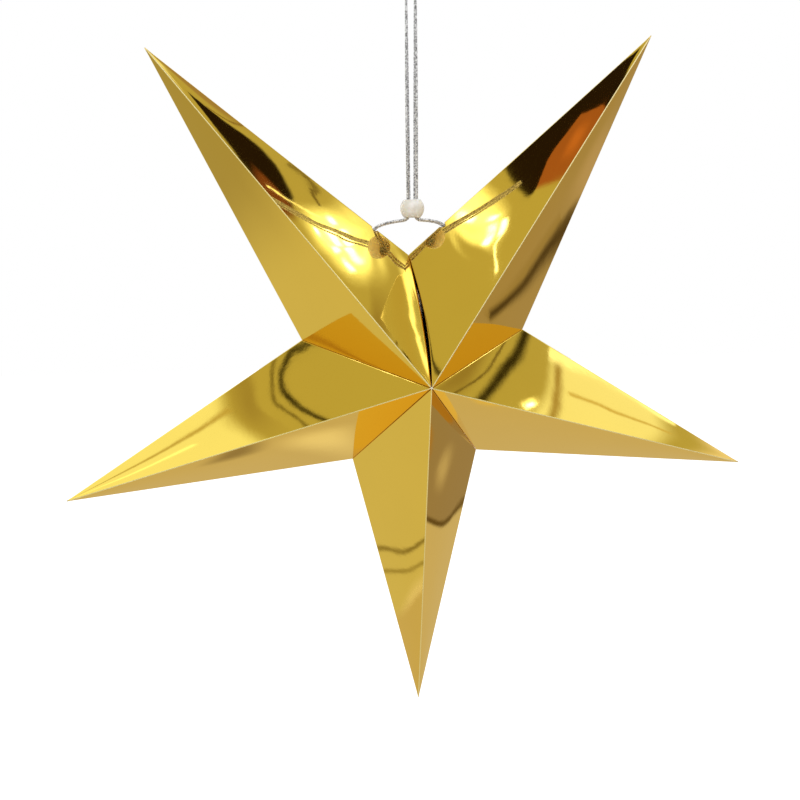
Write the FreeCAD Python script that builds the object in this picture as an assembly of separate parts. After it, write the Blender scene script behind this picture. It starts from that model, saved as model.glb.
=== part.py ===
import FreeCAD, Part
import math
import os
from FreeCAD import Vector

os.makedirs("parts", exist_ok=True)

# A hanging five-point star folded from mirror card, on a doubled cord with a sliding bead.
# Millimetres, +Z up, front towards -Y. The origin is where the cord's loop rests on its hook.

# The star: how far its middle hangs below the hook, and where its front and back peaks stand
STAR_DROP = 225.0
HALF_DEPTH = 70.0
PEAK_SHIFT_X = 2.0
PEAK_SHIFT_Z = 4.0

# The five points in order round the star, with their tips' angles from +X towards +Z. Each tip is a
# little further out or in than the common reach, as hand assembly leaves them.
TIP_REACH = 242.5
POINT_NAMES = ("point_upper_right", "point_upper_left", "point_left", "point_bottom", "point_right")
TIP_ANGLES = (54.0, 128.5, 199.5, 270.5, 342.0)
TIP_UNEVENNESS = (3.5, 0.5, -3.0, 2.5, -2.0)

# The notch that follows each point
NOTCH_REACH = 72.5
NOTCH_ANGLES = (92.0, 163.5, 235.5, 306.5, 18.5)
NOTCH_UNEVENNESS = (0.0, 1.0, -0.5, -2.0, 2.5)
TOP_NOTCH = 0

# The folded card: thickness, glue flaps along the valleys, glued lap under the back ridge
CARD_THICKNESS = 0.4
FLAP_WIDTH = 12.0
FLAP_PEAK_MARGIN = 5.0
FLAP_NOTCH_MARGIN = 2.0
LAP_WIDTH = 12.0
LAP_TIP_MARGIN = 26.0
LAP_PEAK_MARGIN = 16.0
TIP_TRIM = 1.2
TIP_CUTTER_RADIUS = 5.0
SEAM_GAP = 1.0
SEAM_OVERRUN = 7.0

# The holes punched through the upper points' folds, measured along the fold from the notch. The punch
# starts a little outside the fold.
HOLE_DIAMETER = 4.0
PUNCH_START = 3.0
PUNCH_LENGTH = 9.0
HOLE_FROM_NOTCH = {"point_upper_left": 26.0, "point_upper_right": 27.5}

# The bead, with lips rounded in a few steps between its ball and its bore, and how far its centre
# lies below the hook
BEAD_DIAMETER = 14.7
BEAD_HOLE = 8.3
BEAD_LIP = 0.6
BEAD_LIP_STEPS = 3
BEAD_DROP = 125.0

# The pulled knots inside the upper points, each a barrel with tapered ends
KNOT_RADIUS = 2.8
KNOT_END_RADIUS = 2.0
KNOT_TAPER = 1.0
KNOT_LENGTH = 4.4
KNOT_CLEARANCE = 0.2

# The cord: two strands side by side, from the left knot up over the hook and down to the right knot.
# A fourth value is the radius of the bend where a strand is pulled round the bead's rim.
CORD_DIAMETER = 1.4
CORD_SIDES = 12
ARC_SHARE = 0.45
RIM_BEND = 2.0
CORD_FRONT = (
    (-25.2, -0.76, -138.6),
    (-23.2, -0.76, -136.1),
    (-12.0, -0.76, -132.9),
    (-2.75, -0.76, -131.6, RIM_BEND),
    (-3.2, -0.76, -62.0),
    (-2.65, -0.76, 0.7),
    (2.65, -0.76, 0.7),
    (3.15, -0.76, -66.0),
    (2.8, -0.76, -131.5, RIM_BEND),
    (10.6, -0.76, -132.5),
    (18.6, -0.76, -134.5),
    (20.6, -0.76, -136.9),
)
CORD_BACK = (
    (-24.5, 0.76, -139.0),
    (-22.7, 0.76, -136.8),
    (-11.6, 0.76, -133.5),
    (-1.5, 0.76, -132.1, RIM_BEND),
    (-1.95, 0.76, -60.0),
    (-2.65, 0.76, 0.7),
    (2.65, 0.76, 0.7),
    (1.9, 0.76, -64.0),
    (1.55, 0.76, -132.0, RIM_BEND),
    (10.2, 0.76, -133.1),
    (18.1, 0.76, -135.2),
    (19.9, 0.76, -137.4),
)

CENTRE = Vector(0, 0, -STAR_DROP)
PEAK_FRONT = CENTRE + Vector(PEAK_SHIFT_X, -HALF_DEPTH, PEAK_SHIFT_Z)
PEAK_BACK = CENTRE + Vector(PEAK_SHIFT_X, HALF_DEPTH, PEAK_SHIFT_Z)


def unit(vector):
    return Vector(vector).normalize()


def around_centre(angle_deg, reach):
    """A point of the star's middle plane at an angle from +X towards +Z."""
    angle = math.radians(angle_deg)
    return CENTRE + Vector(reach * math.cos(angle), 0, reach * math.sin(angle))


def tip_place(index):
    return around_centre(TIP_ANGLES[index], TIP_REACH + TIP_UNEVENNESS[index])


def notch_place(index):
    return around_centre(NOTCH_ANGLES[index], NOTCH_REACH + NOTCH_UNEVENNESS[index])


def flat_face(corners):
    return Part.Face(Part.makePolygon(list(corners) + [corners[0]]))


def point_envelope(tip, notch_a, notch_b):
    """The closed wedge between two valleys: four outer panels and the two seam planes."""
    corners = (
        (PEAK_FRONT, tip, notch_a),
        (PEAK_FRONT, notch_b, tip),
        (PEAK_BACK, notch_a, tip),
        (PEAK_BACK, tip, notch_b),
        (PEAK_FRONT, notch_a, PEAK_BACK),
        (PEAK_FRONT, PEAK_BACK, notch_b),
    )
    return Part.Solid(Part.Shell([flat_face(three) for three in corners]))


def panel_normal(peak, tip, notch, inside):
    """The unit normal of a panel, turned to the side where inside lies."""
    normal = unit((tip - peak).cross(notch - peak))
    return normal if normal.dot(inside - peak) > 0 else -normal


def cavity_shift(tip, notch_a, notch_b):
    """The move in the middle plane that carries all four panels inward by the card's thickness."""
    first = panel_normal(PEAK_FRONT, tip, notch_a, CENTRE)
    second = panel_normal(PEAK_FRONT, tip, notch_b, CENTRE)
    spread = first.x * second.z - first.z * second.x
    return Vector(second.z - first.z, 0, first.x - second.x) * (CARD_THICKNESS / spread)


def flap(peak, notch, inside, back_off):
    """A glue flap turned inward along the valley from a peak to a notch, beside the seam plane."""
    along = unit(notch - peak)
    other_peak = PEAK_BACK if peak == PEAK_FRONT else PEAK_FRONT
    seam_normal = panel_normal(peak, notch, other_peak, inside)
    inward = unit(seam_normal.cross(along))
    if inward.dot(other_peak - peak) < 0:
        inward = -inward
    start = peak + along * FLAP_PEAK_MARGIN
    end = notch - along * FLAP_NOTCH_MARGIN
    corners = (
        start,
        end,
        end - along * FLAP_WIDTH + inward * FLAP_WIDTH,
        start + along * FLAP_WIDTH + inward * FLAP_WIDTH,
    )
    sheet = flat_face([corner + seam_normal * back_off for corner in corners])
    return sheet.extrude(seam_normal * CARD_THICKNESS)


def back_lap(tip, notch, shift):
    """The second layer of card glued under one back panel, along the back ridge."""
    along = unit(PEAK_BACK - tip)
    normal = panel_normal(PEAK_BACK, tip, notch, CENTRE)
    across = unit(along.cross(normal))
    if across.dot(notch - tip) < 0:
        across = -across
    start = tip + shift + along * LAP_TIP_MARGIN
    end = PEAK_BACK + shift - along * LAP_PEAK_MARGIN
    corners = (
        start,
        end,
        end - along * LAP_WIDTH + across * LAP_WIDTH,
        start + along * LAP_WIDTH + across * LAP_WIDTH,
    )
    return flat_face(corners).extrude(normal * CARD_THICKNESS)


def open_seam(notch):
    """The thin slab of air between the two edges that are not glued, at the top valley."""
    across = unit((notch - PEAK_FRONT).cross(PEAK_BACK - PEAK_FRONT))
    outward = unit(notch - CENTRE) * SEAM_OVERRUN
    backward = Vector(0, SEAM_OVERRUN, 0)
    corners = (PEAK_FRONT - outward - backward, notch + outward, PEAK_BACK - outward + backward)
    slab = flat_face([corner - across * SEAM_GAP / 2 for corner in corners])
    return slab.extrude(across * SEAM_GAP)


def fold_hole(tip, notch, from_notch):
    """Where the cord goes in on a fold, and the inward direction there."""
    along = unit(tip - notch)
    inward = Vector(-along.z, 0, along.x)
    if inward.dot(CENTRE - notch) < 0:
        inward = -inward
    return notch + along * from_notch, inward


def knot(tip, notch, from_notch):
    """A pulled knot just inside the hole, resting between the two panels."""
    place, inward = fold_hole(tip, notch, from_notch)
    normal = panel_normal(PEAK_FRONT, tip, notch, CENTRE)
    sine = math.sqrt(1 - normal.y ** 2)
    cosine = abs(normal.y)
    wall = (CARD_THICKNESS + KNOT_CLEARANCE) / sine
    face_place = place + inward * (wall + KNOT_END_RADIUS * cosine / sine)
    outline = (
        (0, 0),
        (KNOT_END_RADIUS, 0),
        (KNOT_RADIUS, KNOT_TAPER),
        (KNOT_RADIUS, KNOT_LENGTH - KNOT_TAPER),
        (KNOT_END_RADIUS, KNOT_LENGTH),
        (0, KNOT_LENGTH),
    )
    sideways = Vector(0, 1, 0)
    corners = [face_place + sideways * radius + inward * depth for radius, depth in outline]
    return flat_face(corners).revolve(face_place, inward, 360)


def star_point(index):
    """One folded sheet: four panels, glue flaps along its valleys and the lap under its back ridge."""
    name = POINT_NAMES[index]
    before = (index - 1) % len(POINT_NAMES)
    tip = tip_place(index)
    notch_a = notch_place(before)
    notch_b = notch_place(index)
    inside = (tip + notch_a + notch_b) / 3
    shift = cavity_shift(tip, notch_a, notch_b)
    envelope = point_envelope(tip, notch_a, notch_b)
    sheet = envelope.cut(envelope.translated(shift))
    layers = [back_lap(tip, notch_a, shift)]
    for notch, notch_index in ((notch_a, before), (notch_b, index)):
        back_off = SEAM_GAP / 2 if notch_index == TOP_NOTCH else 0.0
        for peak in (PEAK_FRONT, PEAK_BACK):
            layers.append(flap(peak, notch, inside, back_off))
    if TOP_NOTCH in (before, index):
        sheet = sheet.cut(open_seam(notch_place(TOP_NOTCH)))
    sheet = sheet.fuse(layers)
    outward = unit(tip - CENTRE)
    trim = Part.makeCylinder(TIP_CUTTER_RADIUS, TIP_TRIM * 2, tip - outward * TIP_TRIM, outward)
    sheet = sheet.cut(trim)
    if name in HOLE_FROM_NOTCH:
        place, inward = fold_hole(tip, notch_place(TOP_NOTCH), HOLE_FROM_NOTCH[name])
        start = place - inward * PUNCH_START
        sheet = sheet.cut(Part.makeCylinder(HOLE_DIAMETER / 2, PUNCH_LENGTH, start, inward))
    return sheet.removeSplitter()


def bead():
    """A round bead with a wide bore, turned from its profile so that its lips run into the ball."""
    ball = BEAD_DIAMETER / 2
    lip_reach = BEAD_HOLE / 2 + BEAD_LIP
    lip_height = math.sqrt((ball - BEAD_LIP) ** 2 - lip_reach ** 2)
    lean = math.atan2(lip_height, lip_reach)
    upper_lip = []
    for step in range(BEAD_LIP_STEPS + 1):
        angle = math.pi + (lean - math.pi) * step / BEAD_LIP_STEPS
        outward = Vector(math.cos(angle), 0, math.sin(angle))
        upper_lip.append(Vector(lip_reach, 0, lip_height) + outward * BEAD_LIP)
    lower_lip = [Vector(place.x, 0, -place.z) for place in reversed(upper_lip)]
    bore_and_lips = Part.makePolygon(lower_lip + upper_lip)
    ball_arc = Part.Arc(upper_lip[-1], Vector(ball, 0, 0), lower_lip[0]).toShape()
    profile = Part.Face(Part.Wire(bore_and_lips.Edges + [ball_arc]))
    turned = profile.revolve(Vector(0, 0, 0), Vector(0, 0, 1), 360)
    return turned.translated(Vector(0, 0, -BEAD_DROP))


def cord_section(place, direction):
    """The cord's many-sided section, across its direction."""
    across = Vector(0, 1, 0)
    side = unit(direction.cross(across))
    corners = []
    for number in range(CORD_SIDES):
        angle = 2 * math.pi * (number + 0.5) / CORD_SIDES
        outward = side * math.cos(angle) + across * math.sin(angle)
        corners.append(place + outward * CORD_DIAMETER / 2)
    return flat_face(corners)


def cord(name, route):
    """A cord along straight runs joined by tangent arcs, its section carried along them."""
    points = [Vector(*place[:3]) for place in route]
    section = cord_section(points[0], points[1] - points[0])
    area = section.Area
    reached = points[0]
    length = 0.0
    radii = []
    stretches = []
    for before, corner, after, place in zip(points, points[1:], points[2:], route[1:]):
        back = unit(before - corner)
        ahead = unit(after - corner)
        half_turn = (math.pi - back.getAngle(ahead)) / 2
        cut = ARC_SHARE * min((before - corner).Length, (after - corner).Length)
        rim_bend = place[3:]
        if rim_bend:
            cut = min(cut, rim_bend[0] * math.tan(half_turn))
        radius = cut / math.tan(half_turn)
        run = corner + back * cut - reached
        pivot = corner + unit(back + ahead) * radius / math.cos(half_turn)
        axis = unit(ahead.cross(back))
        turn = math.degrees(2 * half_turn)
        stretches.append(section.extrude(run))
        section = section.translated(run)
        stretches.append(section.revolve(pivot, axis, turn))
        section.rotate(pivot, axis, turn)
        radii.append(round(radius, 1))
        length += run.Length + radius * 2 * half_turn
        reached = corner + ahead * cut
    last_run = points[-1] - reached
    stretches.append(section.extrude(last_run))
    length += last_run.Length
    tube = stretches[0].fuse(stretches[1:]).removeSplitter()
    print(name, "length", round(length, 1), "volume over section times length",
          round(tube.Volume / (area * length), 4), "radii", radii)
    return tube


def write(name, shape):
    if shape.ShapeType != "Solid" and len(shape.Solids) == 1:
        shape = shape.Solids[0]
    print(name, "solids", len(shape.Solids), "valid", shape.isValid(), "volume", round(shape.Volume, 1))
    shape.exportStep("parts/" + name + ".step")


top_notch = notch_place(TOP_NOTCH)
for number, point_name in enumerate(POINT_NAMES):
    write(point_name, star_point(number))
write("right_knot", knot(tip_place(0), top_notch, HOLE_FROM_NOTCH["point_upper_right"]))
write("left_knot", knot(tip_place(1), top_notch, HOLE_FROM_NOTCH["point_upper_left"]))
write("bead", bead())
write("cord_front", cord("cord_front", CORD_FRONT))
write("cord_back", cord("cord_back", CORD_BACK))
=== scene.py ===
import math

import bmesh
import bpy
from mathutils import Matrix, Vector, noise


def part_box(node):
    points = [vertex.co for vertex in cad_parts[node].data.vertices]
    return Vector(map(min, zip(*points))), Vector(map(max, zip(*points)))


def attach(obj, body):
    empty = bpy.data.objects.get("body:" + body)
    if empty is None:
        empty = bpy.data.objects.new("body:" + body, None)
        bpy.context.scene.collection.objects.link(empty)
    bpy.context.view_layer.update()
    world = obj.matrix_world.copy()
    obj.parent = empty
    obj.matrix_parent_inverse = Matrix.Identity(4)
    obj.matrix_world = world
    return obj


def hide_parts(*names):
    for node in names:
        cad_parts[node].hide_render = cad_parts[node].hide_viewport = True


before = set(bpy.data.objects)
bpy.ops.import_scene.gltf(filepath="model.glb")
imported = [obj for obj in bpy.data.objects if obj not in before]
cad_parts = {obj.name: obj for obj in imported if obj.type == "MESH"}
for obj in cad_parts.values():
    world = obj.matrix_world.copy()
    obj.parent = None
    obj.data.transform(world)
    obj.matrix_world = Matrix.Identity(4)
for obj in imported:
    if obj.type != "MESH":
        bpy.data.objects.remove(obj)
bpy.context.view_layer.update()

# All lengths are in metres, in the row's frame: +Z up, front towards -Y, origin at the hook.
MM = 0.001

# The camera, placed so that the star lies in the picture as in the photograph: its place, its angles in
# degrees, and its lens and sensor in millimetres
CAMERA_PLACE = Vector((-0.05497, -0.47008, -0.12174))
CAMERA_TURN = 5.61
CAMERA_DIP = 14.67
CAMERA_ROLL = 0.66
CAMERA_LENS = 33.85
SENSOR_WIDTH = 36.0
CLIP_START = 0.01

# The star's corners: its centre, its peaks, and the tips and notches by their angles in degrees from +X
# towards +Z and their reaches from the centre
STAR_CENTRE = Vector((0, 0, -0.225))
HALF_DEPTH = 0.070
PEAK_SHIFT = Vector((0.002, 0, 0.004))
POINT_NAMES = ("point_upper_right", "point_upper_left", "point_left", "point_bottom", "point_right")
TIP_ANGLES = (54.0, 128.5, 199.5, 270.5, 342.0)
TIP_REACHES = (0.246, 0.243, 0.2395, 0.245, 0.2405)
NOTCH_ANGLES = (92.0, 163.5, 235.5, 306.5, 18.5)
NOTCH_REACHES = (0.0725, 0.0735, 0.072, 0.0705, 0.075)

# The card: its thickness, the size of its folds and the most of a panel that one takes near the tip, its
# edges at the seams, the gap between the points' front peaks and how far each rises, how much is missing
# at the tip, and the rows of its glue flaps
CARD_THICKNESS = 0.35 * MM
FOLD_SIZE = 0.7 * MM
FOLD_LIMIT = 0.25
SEAM_ROUNDING = 0.4 * MM
SEAM_CLEARANCE = 0.04 * MM
PEAK_GAP = 0.1 * MM
PEAK_RISES = (0.5 * MM, 0.15 * MM, 0.0, 0.3 * MM, 0.6 * MM)
TIP_TRIM = 1.2 * MM
FLAP_DEPTHS = (3.0 * MM, 7.0 * MM, 11.5 * MM)

# How finely a sheet is divided, from tip to base, across a panel, across a fold and round a seam edge
ROWS = 110
PANEL_STEPS = 26
FOLD_STEPS = 4
EDGE_STEPS = 3

# Extra rows and columns close beside each bend keep the panels' shading flat up to it
BESIDE_BEND = 0.3 * MM
BESIDE_FOLD = 0.006
PANEL_PLACES = tuple([0.0, BESIDE_FOLD] + [step / PANEL_STEPS for step in range(1, PANEL_STEPS)]
                     + [1 - BESIDE_FOLD, 1.0])
PER_PANEL = FOLD_STEPS + len(PANEL_PLACES) - 1

# The open seam at the top: how far its left edge stands out to the right of the valley, how much further
# its right edge does, where its widest place lies, from which reach on both panels bend with the edges,
# and the share of all this on the back
TOP_NOTCH = 0
SEAM_SWEEP = 1.6 * MM
SEAM_OPENING = 1.5 * MM
SEAM_LEAN = 0.8
SEAM_BEND_FROM = 0.935
BACK_SEAM_SHARE = 0.3

# How far each panel bows out at its middle, and how evenly it does towards the tip and the base
PANEL_BULGE = 0.35 * MM
BOW_EVENNESS = 0.7

# The card's waves: their heights, how close they lie, how far the noise moves on from point to point and
# from panel to panel, and how evenly they reach the folds
WIDE_WAVE = 0.10 * MM
WIDE_SCALE = 24
WIDE_SHIFT = (7.3, 3.1)
FINE_WAVE = 0.004 * MM
FINE_SCALE = 90
FINE_SHIFT = (2.9, 5.7)
WAVE_EVENNESS = 0.8

# The cord's holes: how far up its fold each lies from the notch, by the point's number, their radius, and
# the punch that cuts them, which starts outside the fold
HOLE_FROM_NOTCH = {1: 26.0 * MM, 0: 27.5 * MM}
HOLE_RADIUS = 2.0 * MM
HOLE_SIDES = 28
PUNCH_START = 3.0 * MM
PUNCH_LENGTH = 9.0 * MM

# The creases that the knots' pull draws from the holes: how many, how deep, how much and how closely they
# wander, and from where to where
PULL_CREASES = 9
PULL_DEPTH = 0.03 * MM
PULL_WANDER = 2.5
PULL_SCALE = 45
PULL_RANGE = (6 * MM, 18 * MM, 34 * MM, 72 * MM)

# The cord: its diameter, the number of its twisted threads, how far apart along the cord the grooves
# between them follow each other, a groove's depth as a share of the radius, and how finely it is divided
CORD_DIAMETER = 1.4 * MM
THREADS = 3
GROOVE_SPACING = 1.6 * MM
GROOVE_DEPTH = 0.2
CORD_SPACING = 0.3 * MM
CORD_SIDES = 18
ROUTE_STEPS = 48

# The cord's routes in millimetres, as control points of one smooth line each
CORD_FRONT = (
    (-24.9, -0.76, -138.4),
    (-22.8, -0.76, -135.1),
    (-12.0, -0.76, -132.3),
    (-2.9, -0.76, -131.6),
    (-2.8, -0.76, -123.2),
    (-3.2, -0.76, -62.0),
    (-2.75, -0.76, -8.0),
    (-2.65, -0.76, 0.7),
    (2.65, -0.76, 0.7),
    (2.75, -0.76, -8.0),
    (3.15, -0.76, -66.0),
    (2.85, -0.76, -123.2),
    (2.85, -0.76, -131.6),
    (10.6, -0.76, -131.8),
    (18.9, -0.76, -133.7),
    (20.8, -0.76, -136.9),
)
CORD_BACK = (
    (-24.3, 0.76, -138.9),
    (-22.4, 0.76, -135.7),
    (-11.6, 0.76, -132.9),
    (-1.5, 0.76, -132.1),
    (-1.55, 0.76, -123.5),
    (-1.95, 0.76, -60.0),
    (-2.55, 0.76, -8.0),
    (-2.65, 0.76, 0.7),
    (2.65, 0.76, 0.7),
    (2.55, 0.76, -8.0),
    (1.9, 0.76, -64.0),
    (1.55, 0.76, -123.5),
    (1.55, 0.76, -132.1),
    (10.2, 0.76, -132.5),
    (18.3, 0.76, -134.4),
    (20.1, 0.76, -137.3),
)

# The knots, each a trefoil of cord: how far it reaches and swings in and out, and its rise to both sides
KNOT_REACH = 1.25 * MM
KNOT_SWING = 0.55 * MM
KNOT_RISE = 0.7 * MM
KNOT_STEPS = 120
KNOT_SIDES = 14

# The bead, with a rounded lip round both mouths of its bore
BEAD_MIDDLE = Vector((0, 0, -0.125))
BEAD_RADIUS = 7.35 * MM
BORE_RADIUS = 4.15 * MM
BEAD_LIP = 0.6 * MM
LIP_STEPS = 8
BALL_STEPS = 16
BEAD_SIDES = 64

# The materials' colours, the darkest and lightest shares of them on foil and card, and the foil's least
# and greatest roughness, on the panels and on the folds with a slot of their own
FOIL_COLOUR = (0.88, 0.59, 0.135)
FOIL_SHARES = (0.98, 1.02)
FOIL_ROUGHNESS = (0.015, 0.055)
CREASE_SLOT = 3
# The folds' paler, yellower copy of the foil colour is a painted highlight along every crease
CREASE_HIGHLIGHT_COLOUR = (1.0, 0.85, 0.45)
CREASE_ROUGHNESS = (0.22, 0.34)
INSIDE_COLOUR = (0.80, 0.78, 0.72)
EDGE_COLOUR = (0.86, 0.80, 0.62)
CARD_SHARE = 0.88
# The cord's colours run from dark to bright in noise speckles: painted glints
CORD_GLINT_COLOURS = ((0.16, 0.16, 0.17), (0.92, 0.92, 0.94))
BEAD_COLOURS = ((0.80, 0.76, 0.68), (0.97, 0.95, 0.90))

# The studio's floor and its lamps, with their places and powers
FLOOR_DROP = 1.5
FLOOR_HALF = 6.0
FLOOR_GREY = 0.85
FLOOR_LIFT = 0.6
FLOOR_MIRRORED = 0.25
SOFT_LIGHT = 0.8
AREA_LAMP_SIZE = 1.2
AREA_LAMPS = (
    ("key_lamp", (-1.2, -1.4, 0.9), 15),
    ("fill_lamp", (1.4, -1.0, 0.4), 8),
)


def make_camera():
    """The camera that sees the star as the photograph shows it."""
    turn = math.radians(CAMERA_TURN)
    dip = math.radians(CAMERA_DIP)
    forward = Vector((math.sin(turn) * math.cos(dip), math.cos(turn) * math.cos(dip), -math.sin(dip)))
    right = forward.cross(Vector((0, 0, 1))).normalized()
    up = right.cross(forward)
    rolled = Matrix.Rotation(math.radians(CAMERA_ROLL), 3, forward)
    right = rolled @ right
    up = rolled @ up
    data = bpy.data.cameras.new("photo_camera")
    data.lens = CAMERA_LENS
    data.sensor_width = SENSOR_WIDTH
    data.clip_start = CLIP_START
    camera = bpy.data.objects.new("photo_camera", data)
    bpy.context.scene.collection.objects.link(camera)
    axes = Matrix((right, up, -forward)).transposed()
    camera.matrix_world = Matrix.Translation(CAMERA_PLACE) @ axes.to_4x4()
    bpy.context.scene.camera = camera


def new_object(name, data):
    piece = bpy.data.objects.new(name, data)
    bpy.context.scene.collection.objects.link(piece)
    return piece


def smooth_mesh(name, made):
    """The mesh of what was made, with smooth shading."""
    mesh = bpy.data.meshes.new(name)
    made.to_mesh(mesh)
    made.free()
    mesh.polygons.foreach_set("use_smooth", [True] * len(mesh.polygons))
    return mesh


def fill_between(made, first, second, closed, crease=()):
    """Faces between two rows of vertices, with the columns of a fold marked as crease."""
    count = len(first) if closed else len(first) - 1
    for column in range(count):
        following = (column + 1) % len(first)
        face = made.faces.new((first[column], first[following], second[following], second[column]))
        face.material_index = CREASE_SLOT if column in crease else 0


def around_centre(angle, reach):
    turn = math.radians(angle)
    return STAR_CENTRE + Vector((reach * math.cos(turn), 0, reach * math.sin(turn)))


def smooth_step(value, low, high):
    share = min(max((value - low) / (high - low), 0.0), 1.0)
    return share * share * (3 - 2 * share)


def node(tree, kind, **settings):
    made = tree.nodes.new(kind)
    for key, value in settings.items():
        setattr(made, key, value)
    return made


def link(tree, source, target):
    tree.links.new(source, target)


def new_material(name):
    material = bpy.data.materials.new(name)
    material.use_nodes = True
    tree = material.node_tree
    shader = tree.nodes["Principled BSDF"]
    return material, tree, shader


def noise_value(tree, scale, detail):
    """A noise that lies still on the piece."""
    place = node(tree, "ShaderNodeTexCoord")
    made = node(tree, "ShaderNodeTexNoise")
    made.inputs["Scale"].default_value = scale
    made.inputs["Detail"].default_value = detail
    link(tree, place.outputs["Object"], made.inputs["Vector"])
    return made.outputs["Fac"]


def add_colours(tree, shader, value, low, high, start=0.0, end=1.0):
    """Colours a piece from low to high, as a value rises from start to end."""
    ramp = node(tree, "ShaderNodeValToRGB")
    first, last = ramp.color_ramp.elements
    first.position = start
    first.color = tuple(low) + (1,)
    last.position = end
    last.color = tuple(high) + (1,)
    link(tree, value, ramp.inputs["Fac"])
    link(tree, ramp.outputs["Color"], shader.inputs["Base Color"])


def add_bump(tree, shader, height, strength, distance):
    bump = node(tree, "ShaderNodeBump")
    bump.inputs["Strength"].default_value = strength
    bump.inputs["Distance"].default_value = distance
    link(tree, height, bump.inputs["Height"])
    link(tree, bump.outputs["Normal"], shader.inputs["Normal"])


def foil_material(name, colour, roughness):
    """Gold mirror foil on card: a clean metal with the faint ripple that the card beneath gives it."""
    material, tree, shader = new_material(name)
    shader.inputs["Metallic"].default_value = 1.0
    tint = noise_value(tree, scale=30.0, detail=2.0)
    low, high = [[share * part for part in colour] for share in FOIL_SHARES]
    add_colours(tree, shader, tint, low, high)
    haze = noise_value(tree, scale=90.0, detail=4.0)
    rough = node(tree, "ShaderNodeMapRange")
    rough.inputs["To Min"].default_value = roughness[0]
    rough.inputs["To Max"].default_value = roughness[1]
    link(tree, haze, rough.inputs["Value"])
    link(tree, rough.outputs["Result"], shader.inputs["Roughness"])
    ripple = noise_value(tree, scale=160.0, detail=3.0)
    add_bump(tree, shader, ripple, strength=0.12, distance=0.05 * MM)
    return material


def card_material(name, colour):
    """The bare card: its unprinted inner side, or its cut edge."""
    material, tree, shader = new_material(name)
    fibres = noise_value(tree, scale=900.0, detail=5.0)
    add_colours(tree, shader, fibres, [CARD_SHARE * part for part in colour], colour)
    shader.inputs["Roughness"].default_value = 0.75
    return material


def cord_material():
    """Silvery metallic thread, with bright and dark glints painted into its colour."""
    material, tree, shader = new_material("silver_thread")
    shader.inputs["Metallic"].default_value = 0.6
    shader.inputs["Roughness"].default_value = 0.35
    glints = noise_value(tree, scale=1100.0, detail=3.0)
    # Painted bright and dark glints: the thread's colour speckles between dark and bright
    add_colours(tree, shader, glints, *CORD_GLINT_COLOURS, start=0.35, end=0.62)
    add_bump(tree, shader, glints, strength=0.6, distance=0.1 * MM)
    return material


def bead_material():
    """Milky, pearly plastic under a thin gloss."""
    material, tree, shader = new_material("pearly_bead")
    clouds = noise_value(tree, scale=260.0, detail=3.0)
    add_colours(tree, shader, clouds, *BEAD_COLOURS, start=0.35, end=0.65)
    shader.inputs["Roughness"].default_value = 0.22
    shader.inputs["Subsurface Weight"].default_value = 0.5
    shader.inputs["Subsurface Radius"].default_value = (0.004, 0.0035, 0.003)
    shader.inputs["Subsurface Scale"].default_value = 0.6
    shader.inputs["Transmission Weight"].default_value = 0.25
    shader.inputs["Coat Weight"].default_value = 0.5
    shader.inputs["Coat Roughness"].default_value = 0.1
    return material


def route_line(name, route):
    """The smooth line of a cord's route, as points read from its NURBS spline."""
    data = bpy.data.curves.new(name + "_route", "CURVE")
    data.dimensions = "3D"
    spline = data.splines.new("NURBS")
    spline.points.add(len(route) - 1)
    for point, place in zip(spline.points, route):
        point.co = (place[0] * MM, place[1] * MM, place[2] * MM, 1)
    spline.order_u = 3
    spline.use_endpoint_u = True
    spline.resolution_u = ROUTE_STEPS
    holder = new_object(name + "_route", data)
    bpy.context.view_layer.update()
    seen = holder.evaluated_get(bpy.context.evaluated_depsgraph_get())
    mesh = bpy.data.meshes.new_from_object(seen)
    line = [vertex.co.copy() for vertex in mesh.vertices]
    bpy.data.objects.remove(holder)
    bpy.data.meshes.remove(mesh)
    bpy.data.curves.remove(data)
    return line


def evenly(line, spacing):
    """The same line with its points evenly spaced."""
    lengths = [0.0]
    for first, second in zip(line, line[1:]):
        lengths.append(lengths[-1] + (second - first).length)
    count = max(2, round(lengths[-1] / spacing))
    places = []
    index = 0
    for step in range(count + 1):
        wanted = lengths[-1] * step / count
        while index < len(lengths) - 2 and lengths[index + 1] < wanted:
            index += 1
        span = lengths[index + 1] - lengths[index]
        share = (wanted - lengths[index]) / span if span > 0 else 0.0
        places.append(line[index].lerp(line[index + 1], min(max(share, 0.0), 1.0)))
    return places


def twisted_tube(name, line, sides):
    """A cord along a line, whose section has twisted lobes as a laid thread has."""
    made = bmesh.new()
    rings = []
    side = Vector((0, 1, 0))
    twist = math.pi / GROOVE_SPACING
    travelled = 0.0
    for index, place in enumerate(line):
        before = line[max(index - 1, 0)]
        after = line[min(index + 1, len(line) - 1)]
        along = (after - before).normalized()
        side = (side - along * side.dot(along)).normalized()
        other = along.cross(side)
        if index:
            travelled += (place - line[index - 1]).length
        ring = []
        for number in range(sides):
            angle = 2 * math.pi * number / sides
            lobe = abs(math.cos(THREADS * angle / 2 + twist * travelled))
            reach = CORD_DIAMETER / 2 * (1 - GROOVE_DEPTH + GROOVE_DEPTH * lobe)
            ring.append(made.verts.new(place + (side * math.cos(angle) + other * math.sin(angle)) * reach))
        rings.append(ring)
    for first, second in zip(rings, rings[1:]):
        fill_between(made, first, second, True)
    made.faces.new(list(reversed(rings[0])))
    made.faces.new(rings[-1])
    bmesh.ops.recalc_face_normals(made, faces=made.faces)
    return new_object(name, smooth_mesh(name, made))


def make_cords(thread):
    for name, route in (("cord_front", CORD_FRONT), ("cord_back", CORD_BACK)):
        line = evenly(route_line(name, route), CORD_SPACING)
        strand = twisted_tube(name + "_strand", line, CORD_SIDES)
        strand.data.materials.append(thread)
        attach(strand, "star")
        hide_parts(name)


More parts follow.
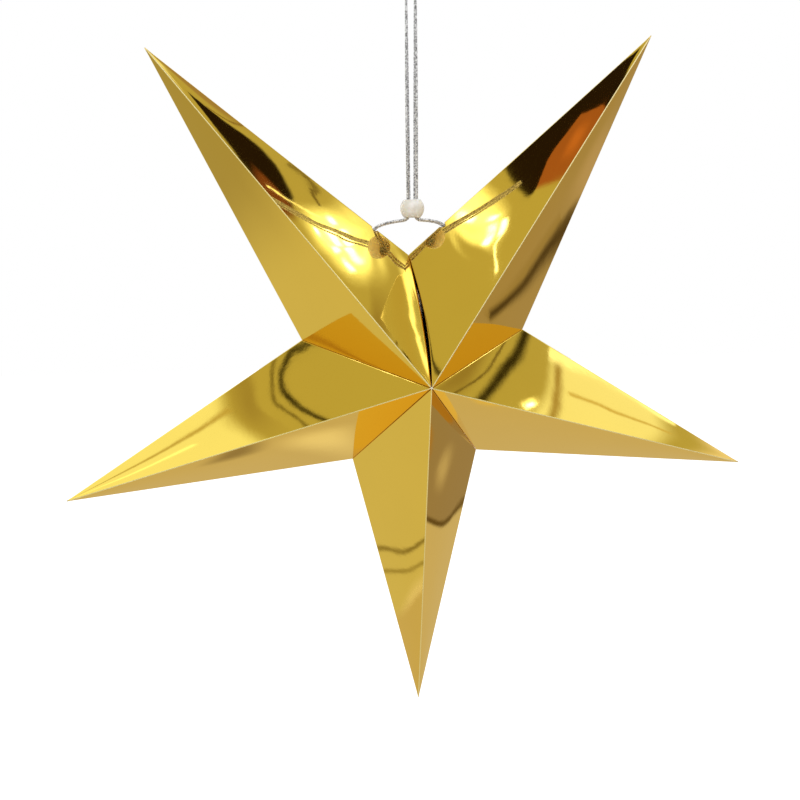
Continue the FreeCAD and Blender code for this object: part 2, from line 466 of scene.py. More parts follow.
class Arm:
    """One folded sheet of the star. A place on it has a reach, from 0 at the tip to 1 at the base.

    Panel 0 lies in front beside the notch before the point, panel 1 behind that, panel 2 behind beside
    the notch after the point, and panel 3 in front of that. Across a panel, a share goes from 0 to 1.
    """

    def __init__(self, number):
        self.number = number
        self.tip = around_centre(TIP_ANGLES[number], TIP_REACHES[number])
        outward = (self.tip - STAR_CENTRE).normalized() * PEAK_GAP
        front = STAR_CENTRE + PEAK_SHIFT + Vector((0, -HALF_DEPTH - PEAK_RISES[number], 0)) + outward
        back = STAR_CENTRE + PEAK_SHIFT + Vector((0, HALF_DEPTH, 0)) + outward
        notch_before = around_centre(NOTCH_ANGLES[number - 1], NOTCH_REACHES[number - 1])
        notch_after = around_centre(NOTCH_ANGLES[number], NOTCH_REACHES[number])
        self.corners = [front, notch_before, back, notch_after]
        middle = (self.tip + notch_before + notch_after) / 3
        self.normals = []
        self.seams = []
        for panel in range(4):
            first = self.corners[panel]
            second = self.corners[(panel + 1) % 4]
            normal = (first - self.tip).cross(second - self.tip).normalized()
            self.normals.append(normal if normal.dot(first - middle) > 0 else -normal)
            notch = self.notch(panel)
            seam = (front - notch).cross(back - notch).normalized()
            self.seams.append(seam if seam.dot(self.tip - notch) > 0 else -seam)

    def notch(self, panel):
        return self.corners[1] if panel < 2 else self.corners[3]

    def width(self, panel):
        return (self.corners[(panel + 1) % 4] - self.corners[panel]).length

    def base_edge(self, panel, share):
        return self.corners[panel].lerp(self.corners[(panel + 1) % 4], share)

    def edge_shift(self, panel, share):
        """How far a panel's edge at the base stands aside of the flat seam.

        At the open seam the left edge curls over the valley, and the right one is folded further in.
        """
        seam = self.seams[panel]
        shift = seam * SEAM_CLEARANCE
        from_peak = share if panel in (0, 2) else 1 - share
        size = 1.0 if panel in (0, 3) else BACK_SEAM_SHARE
        sweep = size * SEAM_SWEEP * math.sin(math.pi * from_peak)
        if self.number == TOP_NOTCH + 1 and panel < 2:
            shift -= seam * sweep
        if self.number == TOP_NOTCH and panel >= 2:
            opening = size * SEAM_OPENING * math.sin(math.pi * from_peak ** SEAM_LEAN)
            in_panel = (seam - self.normals[panel] * seam.dot(self.normals[panel])).normalized()
            shift += in_panel * (sweep + opening) / in_panel.dot(seam)
        return shift

    def bow(self, panel, reach, share, place):
        """How far the card stands out of its flat panel, which is nothing at the folds."""
        across = math.sin(math.pi * share)
        along = math.sin(math.pi * reach) ** BOW_EVENNESS if 0 < reach < 1 else 0.0
        wide_shift = Vector((self.number * WIDE_SHIFT[0], panel * WIDE_SHIFT[1], 0))
        wide = noise.noise(place * WIDE_SCALE + wide_shift)
        fine_shift = Vector((panel * FINE_SHIFT[1], self.number * FINE_SHIFT[0], 0))
        fine = noise.noise(place * FINE_SCALE + fine_shift)
        swell = PANEL_BULGE * across + (wide * WIDE_WAVE + fine * FINE_WAVE) * across ** WAVE_EVENNESS
        return (swell + self.pull_crease(panel, place) * across) * along

    def hole(self):
        """The middle of the cord's hole on its fold, and the direction in which it is punched."""
        notch = self.corners[3] if self.number == TOP_NOTCH else self.corners[1]
        along = (self.tip - notch).normalized()
        inward = Vector((-along.z, 0, along.x))
        if inward.dot(STAR_CENTRE - notch) < 0:
            inward = -inward
        return notch + along * HOLE_FROM_NOTCH[self.number], inward

    def pull_crease(self, panel, place):
        """Faint creases that run out from the cord's hole, over the panels that meet there."""
        beside_hole = (2, 3) if self.number == TOP_NOTCH else (0, 1)
        if self.number not in HOLE_FROM_NOTCH or panel not in beside_hole:
            return 0.0
        away = place - self.hole()[0]
        start, full, fade, end = PULL_RANGE
        strength = smooth_step(away.length, start, full) * (1 - smooth_step(away.length, fade, end))
        wander = PULL_WANDER * noise.noise(place * PULL_SCALE)
        return PULL_DEPTH * strength * math.sin(PULL_CREASES * math.atan2(away.z, away.x) + wander)

    def on_panel(self, panel, reach, share):
        place = self.tip.lerp(self.base_edge(panel, share), reach)
        bend = max((reach - SEAM_BEND_FROM) / (1 - SEAM_BEND_FROM), 0)
        aside = self.edge_shift(panel, share) * bend ** 2
        return place + aside + self.normals[panel] * self.bow(panel, reach, share, place)

    def fold_share(self, panel, reach):
        """The share of a panel's width that its fold takes at a reach."""
        return min(FOLD_SIZE / (self.width(panel) * reach), FOLD_LIMIT)

    def ring(self, reach):
        """The places round the sheet at a reach: each fold's rounding, then the panel after it."""
        places = []
        for panel in range(4):
            start = self.fold_share(panel, reach)
            last_panel = (panel - 1) % 4
            before = self.on_panel(last_panel, reach, 1 - self.fold_share(last_panel, reach))
            after = self.on_panel(panel, reach, start)
            corner = self.tip.lerp(self.corners[panel], reach)
            for step in range(FOLD_STEPS):
                places.append(rounded(before, corner, after, step / FOLD_STEPS))
            for share in PANEL_PLACES[:-1]:
                places.append(self.on_panel(panel, reach, start + (1 - 2 * start) * share))
        return places

    def flap_rows(self, panel, edge_row):
        """The rows of places that carry a panel's base edge round into its glue flap."""
        first = self.corners[panel]
        length = self.width(panel)
        along = (self.corners[(panel + 1) % 4] - first).normalized()
        opposite = self.corners[2] if panel in (0, 3) else self.corners[0]
        inward = self.seams[panel].cross(along).normalized()
        if inward.dot(opposite - first) < 0:
            inward = -inward
        edge = [self.base_edge(panel, share) + self.edge_shift(panel, share) for share in PANEL_PLACES]
        rows = []
        for step in range(1, EDGE_STEPS + 1):
            turn = step / EDGE_STEPS
            rows.append([rounded(above, corner, corner + inward * SEAM_ROUNDING, turn)
                         for above, corner in zip(edge_row, edge)])
        for depth in FLAP_DEPTHS:
            row = []
            for share in PANEL_PLACES:
                run = depth + (length - 2 * depth) * share
                row.append(first + along * run + inward * depth + self.edge_shift(panel, run / length))
            rows.append(row)
        return rows


def rounded(before, corner, after, share):
    """A place on the arc that rounds off a corner."""
    return before.lerp(corner, share).lerp(corner.lerp(after, share), share)


def arm_mesh(arm):
    made = bmesh.new()
    length = (arm.corners[1] - arm.tip).length
    nearest = TIP_TRIM / length
    furthest = 1 - SEAM_ROUNDING / length
    reaches = [nearest + (furthest - nearest) * step / ROWS for step in range(ROWS + 1)]
    reaches.insert(ROWS, furthest - BESIDE_BEND / length)
    rings = [[made.verts.new(place) for place in arm.ring(reach)] for reach in reaches]
    crease = {panel * PER_PANEL + step for panel in range(4) for step in range(FOLD_STEPS)}
    for first, second in zip(rings, rings[1:]):
        fill_between(made, first, second, True, crease)
    made.faces.new(rings[0])
    for panel in range(4):
        start = panel * PER_PANEL + FOLD_STEPS
        above = [rings[-1][(start + step) % len(rings[-1])] for step in range(len(PANEL_PLACES))]
        for places in arm.flap_rows(panel, [vertex.co.copy() for vertex in above]):
            row = [made.verts.new(place) for place in places]
            fill_between(made, above, row, False)
            above = row
    bmesh.ops.recalc_face_normals(made, faces=made.faces)
    made.faces.ensure_lookup_table()
    sample = made.faces[PER_PANEL * ROWS]
    if sample.normal.dot(sample.calc_center_median() - arm.tip.lerp(STAR_CENTRE, 0.5)) < 0:
        bmesh.ops.reverse_faces(made, faces=made.faces)
    return smooth_mesh(POINT_NAMES[arm.number] + "_foil", made)


def punch_hole(piece, arm, material):
    """Cuts the cord's hole through the folded sheet."""
    place, inward = arm.hole()
    made = bmesh.new()
    bmesh.ops.create_cone(made, cap_ends=True, segments=HOLE_SIDES, radius1=HOLE_RADIUS,
                          radius2=HOLE_RADIUS, depth=PUNCH_LENGTH)
    mesh = bpy.data.meshes.new("punch")
    made.to_mesh(mesh)
    made.free()
    mesh.materials.append(material)
    punch = new_object("punch", mesh)
    centre = place + inward * (PUNCH_LENGTH / 2 - PUNCH_START)
    turned = inward.to_track_quat("Z", "Y").to_matrix().to_4x4()
    punch.matrix_world = Matrix.Translation(centre) @ turned
    cut = piece.modifiers.new("cord_hole", "BOOLEAN")
    cut.operation = "DIFFERENCE"
    cut.solver = "EXACT"
    cut.material_mode = "TRANSFER"
    cut.object = punch
    apply_modifiers(piece)
    bpy.data.objects.remove(punch)
    bpy.data.meshes.remove(mesh)


def apply_modifiers(piece):
    bpy.context.view_layer.update()
    seen = piece.evaluated_get(bpy.context.evaluated_depsgraph_get())
    mesh = bpy.data.meshes.new_from_object(seen)
    piece.modifiers.clear()
    piece.data = mesh


def make_star():
    foil = foil_material("gold_foil", FOIL_COLOUR, FOIL_ROUGHNESS)
    # The folds get the paler copy of the foil: a painted highlight along the creases
    crease = foil_material("gold_foil_crease_highlight", CREASE_HIGHLIGHT_COLOUR, CREASE_ROUGHNESS)
    inner = card_material("card_inside", INSIDE_COLOUR)
    edge = card_material("card_edge", EDGE_COLOUR)
    for number, name in enumerate(POINT_NAMES):
        arm = Arm(number)
        piece = new_object(name + "_foil", arm_mesh(arm))
        for material in (foil, inner, edge, crease, inner, edge):
            piece.data.materials.append(material)
        thick = piece.modifiers.new("thickness", "SOLIDIFY")
        thick.thickness = CARD_THICKNESS
        thick.offset = -1.0
        thick.material_offset = 1
        thick.material_offset_rim = 2
        apply_modifiers(piece)
        if number in HOLE_FROM_NOTCH:
            punch_hole(piece, arm, edge)
        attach(piece, "star")
        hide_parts(name)


def bead_outline():
    """Half the bead's section, as reaches from its axis and heights: lip, ball, lip."""
    lip_reach = BORE_RADIUS + BEAD_LIP
    lip_height = math.sqrt((BEAD_RADIUS - BEAD_LIP) ** 2 - lip_reach ** 2)
    lean = math.atan2(lip_height, lip_reach)
    outline = []
    for step in range(LIP_STEPS + 1):
        angle = math.pi + (lean - math.pi) * step / LIP_STEPS
        outline.append((lip_reach + BEAD_LIP * math.cos(angle), lip_height + BEAD_LIP * math.sin(angle)))
    for step in range(1, BALL_STEPS):
        angle = lean - 2 * lean * step / BALL_STEPS
        outline.append((BEAD_RADIUS * math.cos(angle), BEAD_RADIUS * math.sin(angle)))
    for step in range(LIP_STEPS + 1):
        angle = -lean + (lean - math.pi) * step / LIP_STEPS
        outline.append((lip_reach + BEAD_LIP * math.cos(angle), -lip_height + BEAD_LIP * math.sin(angle)))
    return outline


def make_bead():
    made = bmesh.new()
    rings = []
    for reach, height in bead_outline():
        ring = []
        for number in range(BEAD_SIDES):
            angle = 2 * math.pi * number / BEAD_SIDES
            aside = Vector((reach * math.cos(angle), reach * math.sin(angle), height))
            ring.append(made.verts.new(BEAD_MIDDLE + aside))
        rings.append(ring)
    for index, first in enumerate(rings):
        fill_between(made, first, rings[(index + 1) % len(rings)], True)
    bmesh.ops.recalc_face_normals(made, faces=made.faces)
    piece = new_object("pearly_bead", smooth_mesh("pearly_bead", made))
    piece.data.materials.append(bead_material())
    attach(piece, "bead")
    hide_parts("bead")


def make_knots(thread):
    for name in ("left_knot", "right_knot"):
        low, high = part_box(name)
        middle = (low + high) / 2
        line = []
        for step in range(KNOT_STEPS + 1):
            turn = 2 * math.pi * step / KNOT_STEPS
            reach = KNOT_REACH + KNOT_SWING * math.cos(3 * turn)
            line.append(middle + Vector((reach * math.cos(2 * turn), KNOT_RISE * math.sin(3 * turn),
                                         reach * math.sin(2 * turn))))
        piece = twisted_tube(name + "_tied", line, KNOT_SIDES)
        piece.data.materials.append(thread)
        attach(piece, "star")
        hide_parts(name)


# The studio: soft-edged cards around the star, seen only in what mirrors them. They stand in for the room
# of the photograph. A card's outline, or the line along its middle, is a list of directions from the
# star's centre: azimuth from +Y towards +X, and elevation, in degrees. Behind these come a ribbon's width
# in degrees, the softness, from 0 to 1, and the colour as emitted light. The distances are for the room,
# for what stands beside the star, and for the table. At each distance a card is a layer nearer than the
# one before it.
FAR = 9.0
NEAR = 1.6
LOW = 1.2
LAYER = 0.002
PATCHES = (
    ("room_left", FAR,
     ((-104, -32), (-98, -5), (-106, 20), (-140, 24), (-168, 20), (-172, -5), (-168, -32), (-140, -34)),
     0.35, (0.05, 0.04, 0.02)),
    ("room_right", FAR,
     ((104, -32), (98, -5), (106, 20), (140, 24), (168, 20), (172, -5), (168, -32), (140, -34)),
     0.35, (0.05, 0.04, 0.02)),
    ("wall_left", FAR,
     ((-125, 25), (-88, 24), (-45, 26), (-42, 50), (-45, 76), (-88, 78), (-128, 74), (-128, 50)),
     0.1, (0.58, 0.57, 0.24)),
    ("wall_right", FAR,
     ((30, 20), (70, 20), (115, 22), (118, 45), (112, 74), (70, 77), (30, 74), (28, 45)),
     0.1, (0.56, 0.55, 0.24)),
    ("bright_left", FAR,
     ((-120, 20), (-85, 20), (-50, 22), (-48, 33), (-60, 41.5), (-80, 42.3), (-100, 42.5), (-120, 38)),
     0.3, (1.12, 1.28, 1.0)),
    ("bright_right", FAR,
     ((55, 24), (80, 24), (108, 24), (112, 30), (100, 36.2), (80, 35.7), (62, 35.2), (54, 30)),
     0.35, (1.12, 1.28, 1.1)),
    ("beam_left", FAR,
     ((-64, 68), (-74, 71.5), (-87, 72.6), (-99, 71.4), (-98, 68), (-92, 65.4), (-87.5, 63.4),
      (-82, 61.8), (-74, 63.5), (-66, 65.5)), 0.15, (0.42, 0.15, 0.05)),
    ("beam_left_core", FAR,
     ((-74, 67), (-80, 69), (-88, 69.6), (-92, 67.4), (-86, 65.4), (-80, 65.8)), 0.9, (0.62, 0.22, 0.07)),
    ("roof_left", FAR,
     ((-57, 66), (-63, 62), (-69.8, 60.2), (-76.6, 60.2), (-83.6, 61.4), (-84.6, 62.6), (-76.5, 64.5),
      (-73.1, 65.9), (-69.4, 67.4), (-60, 70.5), (-54, 70)), 0.08, (0.02, 0.012, 0.006)),
    ("roof_left_end", FAR,
     ((-56, 70.5), (-60, 66), (-69, 66.8), (-78, 69.2), (-86, 70.9), (-97, 71.5), (-93, 73.6),
      (-80, 73.9), (-66, 73)), 0.08, (0.02, 0.012, 0.006)),
    ("tip_glow", FAR,
     ((47, 61), (53, 62.5), (60, 64.5), (66, 64), (64, 69), (54, 70), (46, 67)), 0.6, (1.1, 1.25, 1.2)),
    ("shelf_right", FAR,
     ((32, 46), (42, 45), (50, 45.6), (54.6, 47.4), (54.6, 50.4), (51, 53.5), (47, 59), (38, 62),
      (32, 55)), 0.45, (0.42, 0.33, 0.19)),
    ("roof_right", FAR,
     ((55, 60.5), (58, 62.3), (63, 61.6), (67, 58.5), (69, 55), (69, 52.7), (64, 51.4), (59, 51.2),
      (54, 52.3), (51.6, 54), (52.5, 57)), 0.1, (0.02, 0.012, 0.006)),
    ("shade_right", FAR,
     ((64, 56.4), (69, 57), (71, 54), (69.6, 51.8), (65.4, 51.6), (63.6, 53.6)),
     0.5, (0.22, 0.075, 0.03)),
    ("shade_centre_right", FAR,
     ((68, 40.8), (75, 40.2), (83, 40.6), (86, 44), (77, 43.8), (68, 43.2)), 0.9, (0.36, 0.31, 0.12)),
    ("dusk_left", FAR,
     ((-66, 45), (-80, 44.4), (-92, 44.4), (-94, 41.6), (-80, 41.2), (-66, 41.4)),
     1.0, (0.42, 0.38, 0.15)),
    ("glow_left", FAR,
     ((-63, 55), (-70, 53.6), (-78, 53.8), (-84.4, 55.4), (-88.4, 56.9), (-87, 59), (-82, 60),
      (-74, 59.3), (-65, 58.6)), 0.85, (2.3, 2.6, 1.9)),
    ("glow_right", FAR,
     ((58, 47), (61, 49.8), (64.5, 51.6), (69.5, 52), (72.3, 49.5), (72.8, 46), (70.6, 43), (66, 41.2),
      (61.3, 42.3), (58.3, 44.6)), 0.85, (2.6, 3.0, 2.2)),
    ("spot_left", FAR,
     ((79.5, 35), (80.8, 35.6), (79.8, 36.6), (78.2, 36.0)), 0.9, (2.4, 2.7, 2.2)),
    ("seam_olive", FAR,
     ((74.6, 57.5), (82, 58.5), (93, 56), (95, 48), (88, 45.4), (80, 46.4), (75.6, 50)),
     0.12, (0.60, 0.67, 0.36)),
    ("side_left", NEAR,
     ((-115, 16), (-80, 17), (-45, 14), (-42, -15), (-50, -47), (-80, -48), (-112, -46), (-118, -15)),
     0.1, (0.70, 0.70, 0.42)),
    ("side_left_dusk", NEAR,
     ((-104, 14), (-80, 15), (-52, 12), (-52, -10), (-58, -23), (-72, -25), (-82, -24), (-100, -10)),
     0.6, (0.45, 0.43, 0.25)),
    ("fold_left", NEAR,
     ((-83, -12), (-92, -11), (-101, -13), (-103, -20), (-100, -26), (-90, -26), (-84, -23),
      (-82, -18)), 0.3, (0.70, 0.60, 0.12)),
    ("side_right", NEAR,
     ((30, 14), (60, 14), (92, 12), (96, -8), (90, -25), (62, -24), (34, -24), (28, -6)),
     0.1, (0.43, 0.36, 0.22)),
    ("side_right_light", NEAR,
     ((50, 0), (60, 1.5), (66, -2), (65, -8), (60.5, -10), (55, -9), (50, -6)), 0.9, (0.52, 0.43, 0.31)),
    ("fold_right", NEAR,
     ((74.5, 0), (82, 1.5), (91, 0), (93, -6), (89, -13), (80, -13), (74, -8)), 0.25, (0.68, 0.58, 0.12)),
    ("table", LOW,
     ((0, -44), (45, -24), (90, -24), (135, -34), (180, -34), (-135, -34), (-90, -47), (-45, -47)),
     0.03, (0.66, 0.61, 0.43)),
    ("table_bright", LOW,
     ((12, -60), (2, -61), (-10, -63.5), (-14, -67), (0, -67.5), (12, -65)), 0.9, (0.92, 0.90, 0.70)),
    ("table_shade", LOW,
     ((-12, -64.5), (-22, -63), (-31, -63), (-31, -67), (-22, -69), (-13, -68)), 0.9, (0.34, 0.29, 0.2)),
    ("table_warm", LOW,
     ((-54, -69.5), (-75, -71), (-105, -78), (180, -86), (0, -84), (-20, -76), (-35, -70.6)),
     0.15, (0.84, 0.74, 0.18)),
    ("table_warm_right", LOW,
     ((22, -65.6), (30, -64.6), (40, -64), (44, -68), (30, -71), (18, -69)), 0.2, (0.84, 0.70, 0.24)),
    ("stand_patch", LOW,
     ((66, -23.6), (57, -24.3), (50, -25.3), (47, -27.4), (51, -29.4), (53.5, -31.5), (53.9, -32.9),
      (55.1, -34.5), (57.9, -35.9), (61, -36.6), (66, -36), (69, -30)), 0.08, (0.36, 0.30, 0.21)),
    ("stand_light", LOW,
     ((58.5, -26.5), (60, -27.5), (61.5, -31), (61, -33.5), (59, -33), (58, -29)),
     0.9, (0.58, 0.52, 0.38)),
    ("fold_low", LOW,
     ((62.2, -26.8), (66, -25), (72, -27), (70, -32), (63.4, -31.6)), 0.2, (0.46, 0.27, 0.05)),
)
RIBBONS = (
    ("band_left", FAR,
     ((-77.4, 52), (-78.2, 49.4), (-78.1, 48.1), (-78.7, 47.2), (-79.6, 46.5), (-81.3, 46.3),
      (-84, 46.5), (-86.5, 46.6), (-90, 47.0), (-95, 48)), 0.9, 0.9, (0.03, 0.025, 0.008)),
    ("band_left_faint", FAR,
     ((-76.2, 49.5), (-76.9, 47.4), (-78.2, 46.1), (-80.3, 45.5), (-83, 45.4), (-86, 45.6),
      (-91, 45.6)), 0.6, 1.0, (0.20, 0.18, 0.06)),
    ("streak_left_dark", FAR,
     ((-80.5, 27), (-81, 32), (-80.6, 37), (-79.4, 42)), 1.6, 1.0, (0.62, 0.56, 0.24)),
    ("streak_left_light", FAR,
     ((-74.5, 27), (-75.4, 32), (-76, 37), (-75.6, 41)), 1.8, 1.0, (1.9, 2.3, 2.1)),
    ("streak_left_low", FAR,
     ((-85.4, 27), (-85.6, 31), (-84.8, 35), (-84, 38)), 1.4, 1.0, (1.7, 1.9, 1.5)),
    ("band_right", FAR,
     ((62, 36.6), (71.3, 38.0), (74.9, 38.9), (80, 39.3), (92, 39.6)), 1.7, 0.9, (0.03, 0.025, 0.01)),
    ("band_right_thin", FAR,
     ((66, 39.2), (73.5, 40.1), (77, 40.6), (84, 43)), 0.5, 1.0, (0.16, 0.13, 0.05)),
    ("smudge_right", FAR,
     ((70, 34.6), (74, 34.3), (77.4, 34.1), (80.3, 33.6), (86, 32.8)), 1.5, 1.0, (0.46, 0.38, 0.15)),
    ("rim_light_right", FAR,
     ((71.2, 35.6), (71.3, 33), (71.2, 30), (71.3, 27), (71.7, 24)), 1.5, 1.0, (1.6, 1.9, 1.9)),
    ("streak_right", FAR,
     ((76.2, 24.6), (76, 28), (75.4, 31), (75.6, 33.4)), 1.3, 1.0, (0.74, 0.66, 0.29)),
    ("glow_seam", FAR,
     ((71.3, 56.6), (74, 55), (76, 52.8), (79, 51.4), (81, 50), (83, 48.7), (87, 47.7), (93, 46.3)),
     3.6, 0.9, (2.3, 2.6, 2.2)),
    ("arc_right", FAR,
     ((55.0, 51.0), (56.5, 49.9), (57.6, 49.3), (58.8, 48.7), (60.6, 48.4)),
     0.55, 1.0, (0.10, 0.065, 0.02)),
    ("streak_roof_right", FAR,
     ((53.4, 58.6), (50, 55), (48, 51.6), (47.6, 49), (50, 47.4)), 0.5, 1.0, (0.22, 0.14, 0.06)),
    ("pull_line_upper", FAR,
     ((67, 55.2), (65, 52.5), (63.5, 49.6), (62.5, 46.5)), 0.35, 0.8, (2.2, 2.3, 1.8)),
    ("ridge_line_left", FAR,
     ((-84.6, 59), (-85.6, 57.9), (-87.4, 57.4), (-88.6, 56.9), (-90.4, 56.6)),
     0.5, 0.8, (3.6, 4.2, 4.2)),
    ("stand_shade", NEAR,
     ((60, -10), (61, -13), (61.6, -16.5), (62, -19), (63, -22)), 4.4, 1.0, (0.38, 0.31, 0.16)),
    ("stand_line", NEAR,
     ((57.4, -7.5), (58.6, -9.4), (59.2, -12), (59.8, -14.8), (60.3, -17.4), (61.6, -19.8),
      (63, -21.6)), 2.8, 1.0, (0.09, 0.065, 0.03)),
    ("fold_left_streak", NEAR,
     ((-82, -14.6), (-88, -15.6), (-93, -16), (-100, -17)), 1.6, 1.0, (0.48, 0.34, 0.07)),
    ("stand_edge", LOW,
     ((47.2, -27.2), (51.2, -29.4), (53.6, -31.6), (54.2, -33.2), (55.6, -34.8), (58.5, -36),
      (64, -36.4)), 1.1, 0.9, (0.14, 0.10, 0.04)),
    ("side_line_upper", NEAR,
     ((-66, -40.3), (-72, -41.6), (-78, -42.8), (-86, -42.6)), 0.9, 1.0, (0.28, 0.25, 0.10)),
    ("side_line_lower", NEAR,
     ((-66, -42.8), (-73, -43.9), (-80, -44.8), (-88, -44.4)), 0.7, 1.0, (0.38, 0.35, 0.15)),
)
CARD_SMOOTHING = 8
CARD_RINGS = 10

# Small bright spots on the walls, as directions with their half widths in degrees
LAMPS = (
    (-67.4, 55.2, 1.1), (-76.4, 56.3, 0.9), (-79.6, 58.0, 0.9), (-82.8, 57.2, 1.1), (-84.0, 58.6, 0.7),
    (65.3, 47.4, 1.1), (64.0, 46.0, 0.9), (67.9, 47.4, 1.1), (66.3, 45.5, 1.2), (67.2, 49.2, 0.8),
    (62.5, 47.4, 0.8), (69.3, 46.0, 0.8), (79.8, 35.7, 0.5),
)
LAMP_COLOUR = (6.5, 7.5, 9.0)
LAMP_SOFTNESS = 0.8


def direction(azimuth, elevation):
    turn = math.radians(azimuth)
    rise = math.radians(elevation)
    return Vector((math.sin(turn) * math.cos(rise), math.cos(turn) * math.cos(rise), math.sin(rise)))


def smooth_path(points, closed):
    """A smooth line through the points, as directions from the star's centre."""
    last = len(points) - 1
    directions = [direction(*point) for point in points]
    path = []
    for index in range(len(points) if closed else last):
        span = []
        for place in (index - 1, index, index + 1, index + 2):
            span.append(directions[place % len(points) if closed else min(max(place, 0), last)])
        before, start, end, after = span
        for step in range(CARD_SMOOTHING):
            share = step / CARD_SMOOTHING
            bend = (end - before) * share + (2 * before - 5 * start + 4 * end - after) * share ** 2
            bend += (3 * start - before - 3 * end + after) * share ** 3
            path.append((start + bend / 2).normalized())
    if not closed:
        path.append(directions[-1])
    return path


def card_glow(name, softness, colour):
    """Light that fades out towards the card's edges, where the sheet's first coordinate is 0."""
    material = bpy.data.materials.new(name)
    material.use_nodes = True
    tree = material.node_tree
    tree.nodes.clear()
    place = node(tree, "ShaderNodeTexCoord")
    split = node(tree, "ShaderNodeSeparateXYZ")
    link(tree, place.outputs["UV"], split.inputs["Vector"])
    fade = node(tree, "ShaderNodeMapRange", interpolation_type="SMOOTHSTEP")
    fade.inputs["From Max"].default_value = softness
    link(tree, split.outputs["X"], fade.inputs["Value"])
    glow = node(tree, "ShaderNodeEmission")
    glow.inputs["Color"].default_value = tuple(colour) + (1,)
    clear = node(tree, "ShaderNodeBsdfTransparent")
    mix = node(tree, "ShaderNodeMixShader")
    link(tree, fade.outputs["Result"], mix.inputs["Fac"])
    link(tree, clear.outputs[0], mix.inputs[1])
    link(tree, glow.outputs[0], mix.inputs[2])
    out = node(tree, "ShaderNodeOutputMaterial")
    link(tree, mix.outputs[0], out.inputs["Surface"])
    return material


def studio_card(name, vertices, faces, depths, softness, colour):
    """A card's mesh, with each vertex's depth from its edge in the sheet's first coordinate."""
    mesh = bpy.data.meshes.new(name)
    mesh.from_pydata(vertices, [], faces)
    mesh.uv_layers.new(name="depth")
    for loop, corner in zip(mesh.loops, mesh.uv_layers["depth"].data):
        corner.uv = (depths[loop.vertex_index], 0)
    mesh.materials.append(card_glow(name, softness, colour))
    piece = new_object(name, mesh)
    piece.visible_camera = False
    piece.visible_diffuse = False
    piece.visible_shadow = False
    piece.visible_transmission = False


def patch_card(name, reach, outline, softness, colour):
    """A card inside a closed outline, in rings that run in to its middle."""
    path = smooth_path(outline, True)
    count = len(path)
    middle = sum(path, Vector()).normalized()
    vertices = []
    depths = []
    faces = []
    for ring in range(CARD_RINGS + 1):
        share = ring / CARD_RINGS
        vertices.extend(STAR_CENTRE + place.slerp(middle, share) * reach for place in path)
        depths.extend([share] * count)
        for index in range(count if ring else 0):
            corner = (ring - 1) * count + index
            following = (ring - 1) * count + (index + 1) % count
            faces.append((corner, following, following + count, corner + count))
    studio_card(name, vertices, faces, depths, softness, colour)


def ribbon_card(name, reach, line, width, softness, colour):
    """A card of even width, in degrees, along a line."""
    path = smooth_path(line, False)
    vertices = []
    depths = []
    for index, place in enumerate(path):
        along = path[min(index + 1, len(path) - 1)] - path[max(index - 1, 0)]
        aside = along.cross(place).normalized() * math.tan(math.radians(width / 2))
        inside = 0 if index in (0, len(path) - 1) else 1
        for side, depth in ((-1, 0), (0, inside), (1, 0)):
            vertices.append(STAR_CENTRE + (place + aside * side) * reach)
            depths.append(depth)
    faces = []
    for index in range(len(path) - 1):
        for column in (0, 1):
            corner = 3 * index + column
            faces.append((corner, corner + 1, corner + 4, corner + 3))
    studio_card(name, vertices, faces, depths, softness, colour)


def make_studio():
    """Sets up the cards, each a little nearer than the one before it, and the spots side by side."""
    layers = {FAR: 0, NEAR: 0, LOW: 0}
    for make, cards in ((patch_card, PATCHES), (ribbon_card, RIBBONS)):
        for name, reach, *rest in cards:
            make(name, reach * (1 - LAYER * layers[reach]), *rest)
            layers[reach] += 1
    for number, (azimuth, elevation, size) in enumerate(LAMPS):
        wide = size / math.cos(math.radians(elevation))
        outline = ((azimuth - wide, elevation), (azimuth, elevation + size), (azimuth + wide, elevation),
                   (azimuth, elevation - size))
        reach = FAR * (1 - LAYER * layers[FAR])
        patch_card("lamp_" + str(number + 1), reach, outline, LAMP_SOFTNESS, LAMP_COLOUR)


def math_value(tree, operation, first, second):
    """What a math node makes of a socket and another one, or of a socket and a number."""
    made = node(tree, "ShaderNodeMath", operation=operation, use_clamp=operation == "ADD")
    link(tree, first, made.inputs[0])
    if isinstance(second, float):
        made.inputs[1].default_value = second
    else:
        link(tree, second, made.inputs[1])
    return made.outputs[0]


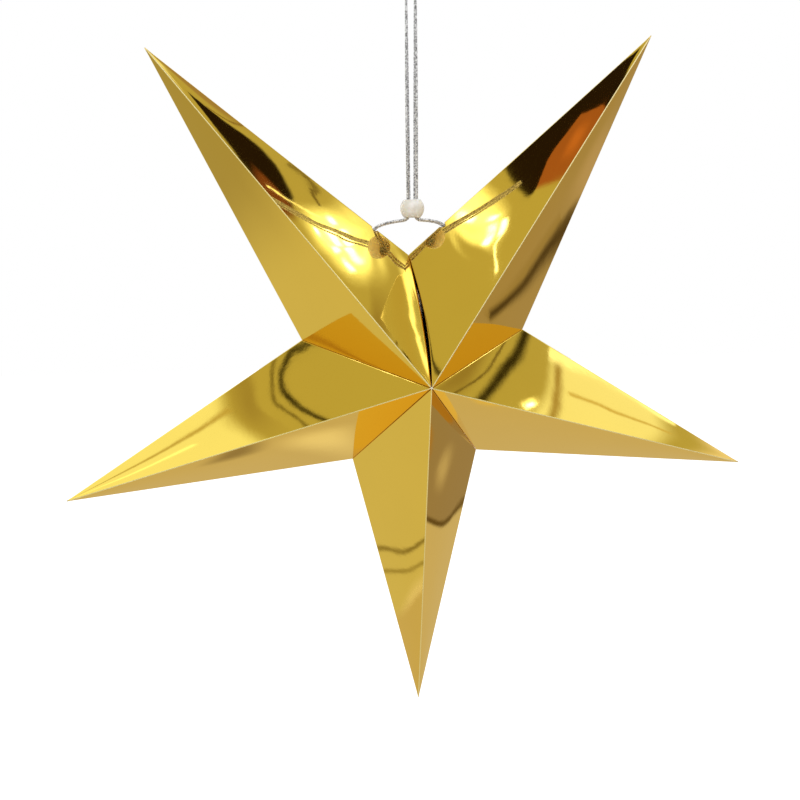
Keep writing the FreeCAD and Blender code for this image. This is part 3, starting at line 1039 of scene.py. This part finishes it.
def make_floor():
    """A pale floor that looks white to the camera and less so in the foil."""
    mesh = bpy.data.meshes.new("studio_floor")
    corners = ((-1, -1), (1, -1), (1, 1), (-1, 1))
    mesh.from_pydata([(x * FLOOR_HALF, y * FLOOR_HALF, -FLOOR_DROP) for x, y in corners], [], [(0, 1, 2, 3)])
    piece = new_object("studio_floor", mesh)
    material, tree, shader = new_material("pale_floor")
    shader.inputs["Base Color"].default_value = (FLOOR_GREY, FLOOR_GREY, FLOOR_GREY, 1)
    shader.inputs["Roughness"].default_value = 1.0
    shader.inputs["Specular IOR Level"].default_value = 0.0
    path = node(tree, "ShaderNodeLightPath")
    seen = math_value(tree, "ADD", path.outputs["Is Camera Ray"], path.outputs["Is Transmission Ray"])
    mirrored = math_value(tree, "MULTIPLY", path.outputs["Is Glossy Ray"], FLOOR_MIRRORED)
    shown = math_value(tree, "MAXIMUM", seen, mirrored)
    lift = math_value(tree, "MULTIPLY", shown, FLOOR_LIFT)
    shader.inputs["Emission Color"].default_value = (1, 1, 1, 1)
    link(tree, lift, shader.inputs["Emission Strength"])
    mesh.materials.append(material)


def area_lamp(name, place, power):
    data = bpy.data.lights.new(name, "AREA")
    data.shape = "SQUARE"
    data.size = AREA_LAMP_SIZE
    data.energy = power
    lamp = new_object(name, data)
    aim = (STAR_CENTRE - place).to_track_quat("-Z", "Y")
    lamp.matrix_world = Matrix.Translation(place) @ aim.to_matrix().to_4x4()
    lamp.visible_glossy = False
    lamp.visible_camera = False


def white_background(tree, strength):
    made = node(tree, "ShaderNodeBackground")
    made.inputs["Color"].default_value = (1, 1, 1, 1)
    made.inputs["Strength"].default_value = strength
    return made.outputs[0]


def make_light():
    """A soft white surround that the camera, mirrors and clear pieces see as plain white, and two lamps."""
    world = bpy.data.worlds.new("studio")
    bpy.context.scene.world = world
    world.use_nodes = True
    tree = world.node_tree
    tree.nodes.clear()
    path = node(tree, "ShaderNodeLightPath")
    seen = math_value(tree, "ADD", path.outputs["Is Camera Ray"], path.outputs["Is Glossy Ray"])
    seen_too = math_value(tree, "ADD", seen, path.outputs["Is Transmission Ray"])
    mix = node(tree, "ShaderNodeMixShader")
    link(tree, seen_too, mix.inputs["Fac"])
    link(tree, white_background(tree, SOFT_LIGHT), mix.inputs[1])
    link(tree, white_background(tree, 1.0), mix.inputs[2])
    out = node(tree, "ShaderNodeOutputWorld")
    link(tree, mix.outputs[0], out.inputs["Surface"])
    for name, place, power in AREA_LAMPS:
        area_lamp(name, Vector(place), power)


make_camera()
silver_thread = cord_material()
make_cords(silver_thread)
make_knots(silver_thread)
make_bead()
make_star()
make_studio()
make_floor()
make_light()

bpy.context.scene.view_settings.view_transform = "Standard"
